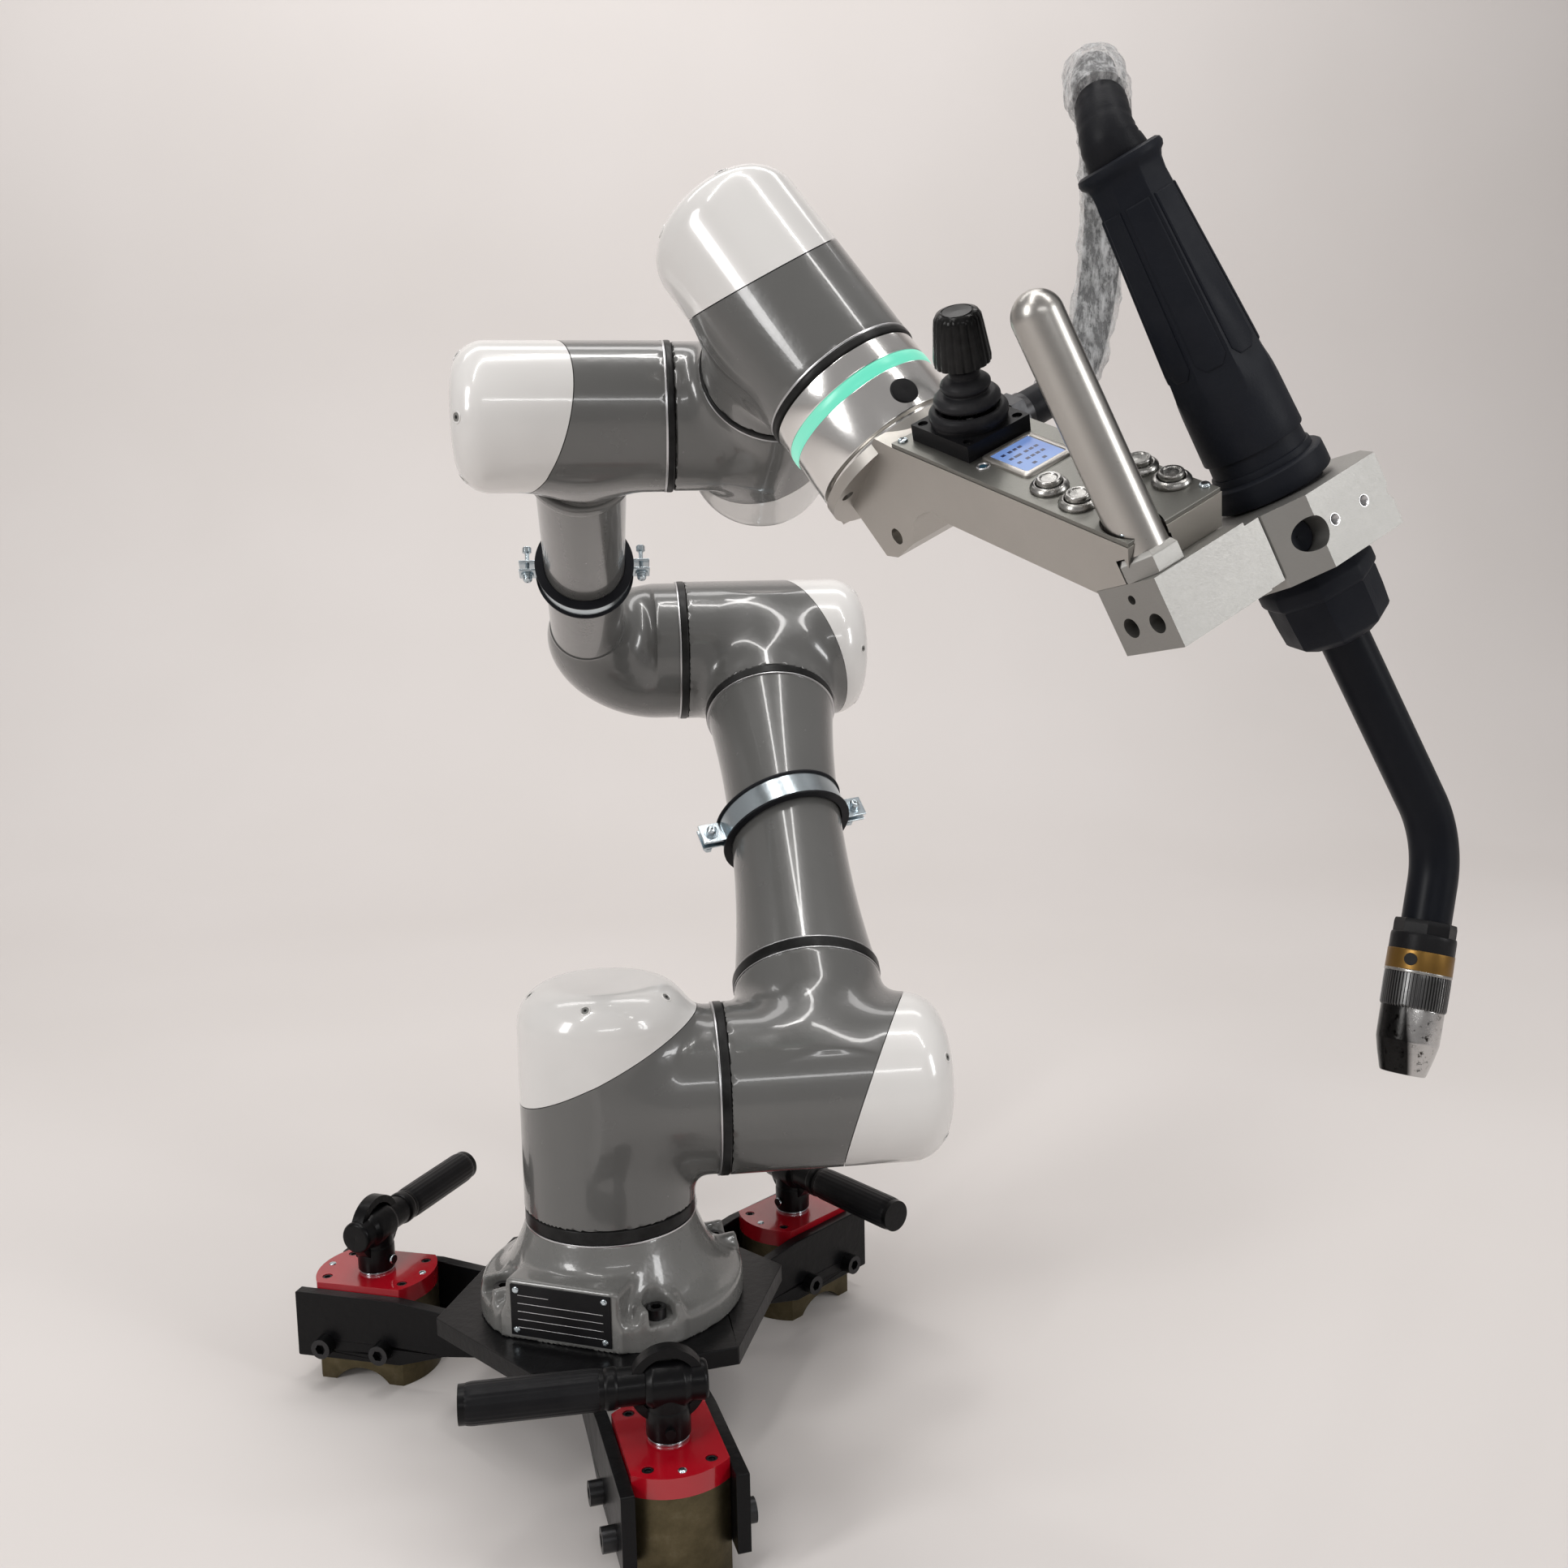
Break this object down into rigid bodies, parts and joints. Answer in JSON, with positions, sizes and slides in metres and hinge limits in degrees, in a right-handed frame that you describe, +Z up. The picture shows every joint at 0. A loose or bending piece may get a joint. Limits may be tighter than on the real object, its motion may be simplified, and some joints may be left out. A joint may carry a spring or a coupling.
{
  "type": "collaborative robot arm",
  "caption": "Jointed collaborative arm on a three-legged switchable magnet frame, with a hand-guiding panel, joystick, grip rod and welding torch.",
  "frame": {"origin": "on the first joint's axis, at the top face of the frame's plate, in the middle of its cable bore", "axes": "+Z up; +X along the shoulder axis at rest, towards the upper arm's side; +Y away from the operator"},
  "size_m": [0.6244, 0.7411, 0.7848],
  "materials": {
    "housing": "glossy",
    "casting": "glossy",
    "cap_white": "glossy",
    "seal": "satin",
    "frame_black": "satin",
    "magnet_body": "satin",
    "cap_red": "glossy",
    "screw_black": "satin",
    "drive_alloy": "satin",
    "alloy": "satin",
    "steel": "satin",
    "light": "glossy",
    "panel_grey": "satin",
    "plastic_black": "matte",
    "screen_blue": "glossy",
    "chrome": "polished",
    "rubber_black": "matte",
    "brass": "satin"
  },
  "bodies": {
    "base": {"base_plate": "frame_black", "leg_plates": "frame_black", "magnets": "magnet_body", "magnet_caps": "cap_red", "frame_bolts": "screw_black", "base_casting": "casting", "base_connector": "steel", "base_drive": "drive_alloy", "base_seal": "seal"},
    "lever_front_body": {"lever_front": "frame_black"},
    "lever_left_body": {"lever_left": "frame_black"},
    "lever_right_body": {"lever_right": "frame_black"},
    "shoulder": {"shoulder_housing": "housing", "shoulder_cap": "cap_white", "shoulder_seal": "seal"},
    "upper_arm": {"upper_housing": "housing", "upper_cap": "cap_white", "upper_tube": "housing", "upper_collars": "seal", "elbow_housing": "housing", "elbow_cap": "cap_white", "upper_drives": "drive_alloy", "upper_clamp": "alloy"},
    "forearm": {"elbow_bend": "housing", "forearm_seals": "seal", "fore_tube": "housing", "wrist_housing_1": "housing", "wrist_cap_1": "cap_white", "wrist_drive": "drive_alloy", "fore_clamp": "alloy"},
    "wrist_1": {"wrist_housing_2": "housing", "wrist_cap_2": "cap_white", "wrist_seal_2": "seal"},
    "wrist_2": {"wrist_housing_3": "housing", "wrist_cap_3": "cap_white", "wrist_seal_3": "seal"},
    "tool": {"tool_flange": "alloy", "light_ring": "light", "tool_sleeve": "alloy", "tool_bracket": "alloy", "control_panel": "panel_grey", "joystick_base": "plastic_black", "screen": "screen_blue", "button_bezels": "chrome", "grip_rod": "alloy", "end_block": "alloy", "torch_clamp": "alloy", "torch_handle": "plastic_black", "torch_boot": "rubber_black", "torch_neck": "rubber_black", "nozzle": "chrome", "torch_hose": "rubber_black", "hose_coupling": "brass"},
    "stick_cross": {"joystick_gimbal": "steel"},
    "stick": {"joystick_boot": "rubber_black", "joystick_knob": "plastic_black"},
    "button_1_body": {"button_1": "chrome"},
    "button_2_body": {"button_2": "chrome"},
    "button_3_body": {"button_3": "chrome"},
    "button_4_body": {"button_4": "chrome"}
  },
  "joints": [
    {"name": "base_turn", "type": "hinge", "parent": "base", "child": "shoulder", "pos_m": [0, 0, 0.139], "axis": [0, 0, 1], "range_deg": [-175, 175]},
    {"name": "shoulder_lift", "type": "hinge", "parent": "shoulder", "child": "upper_arm", "pos_m": [0, 0, 0.139], "axis": [1, 0, 0], "range_deg": [-50, 40]},
    {"name": "elbow_bend_joint", "type": "hinge", "parent": "upper_arm", "child": "forearm", "pos_m": [0, 0.29172, 0.42567], "axis": [1, 0, 0], "range_deg": [-90, 25]},
    {"name": "wrist_tilt", "type": "hinge", "parent": "forearm", "child": "wrist_1", "pos_m": [0, -0.08101, 0.57626], "axis": [1, 0, 0], "range_deg": [-120, 60]},
    {"name": "wrist_swing", "type": "hinge", "parent": "wrist_1", "child": "wrist_2", "pos_m": [0.109, -0.08101, 0.57626], "axis": [0, -0.9191, 0.3939], "range_deg": [-90, 90]},
    {"name": "tool_roll", "type": "hinge", "parent": "wrist_2", "child": "tool", "pos_m": [0.109, -0.17568, 0.61684], "axis": [0.515, -0.3377, -0.7879], "range_deg": [-95, 170]},
    {"name": "front_lever_turn", "type": "hinge", "parent": "base", "child": "lever_front_body", "pos_m": [0.02816, -0.17778, 0], "axis": [0, 0, 1], "range_deg": [0, 90]},
    {"name": "left_lever_turn", "type": "hinge", "parent": "base", "child": "lever_left_body", "pos_m": [-0.16804, 0.06451, 0], "axis": [0, 0, 1], "range_deg": [0, 90]},
    {"name": "right_lever_turn", "type": "hinge", "parent": "base", "child": "lever_right_body", "pos_m": [0.13989, 0.11328, 0], "axis": [0, 0, 1], "range_deg": [0, 90]},
    {"name": "stick_side", "type": "hinge", "parent": "tool", "child": "stick_cross", "pos_m": [0.17804, -0.2809, 0.55456], "axis": [0.8515, 0.3072, 0.425], "range_deg": [-12, 12], "stiffness_Nm_per_rad": 0.4},
    {"name": "stick_along", "type": "hinge", "parent": "stick_cross", "child": "stick", "pos_m": [0.17804, -0.2809, 0.55456], "axis": [-0.4665, 0.8139, 0.3464], "range_deg": [-12, 12], "stiffness_Nm_per_rad": 0.4},
    {"name": "button_1_press", "type": "slide", "parent": "tool", "child": "button_1_body", "axis": [0.2395, 0.4932, -0.8363], "range_m": [0, 0.0015], "stiffness_N_per_m": 400, "springref_m": -0.001},
    {"name": "button_2_press", "type": "slide", "parent": "tool", "child": "button_2_body", "axis": [0.2395, 0.4932, -0.8363], "range_m": [0, 0.0015], "stiffness_N_per_m": 400, "springref_m": -0.001},
    {"name": "button_3_press", "type": "slide", "parent": "tool", "child": "button_3_body", "axis": [0.2395, 0.4932, -0.8363], "range_m": [0, 0.0015], "stiffness_N_per_m": 400, "springref_m": -0.001},
    {"name": "button_4_press", "type": "slide", "parent": "tool", "child": "button_4_body", "axis": [0.2395, 0.4932, -0.8363], "range_m": [0, 0.0015], "stiffness_N_per_m": 400, "springref_m": -0.001}
  ]
}
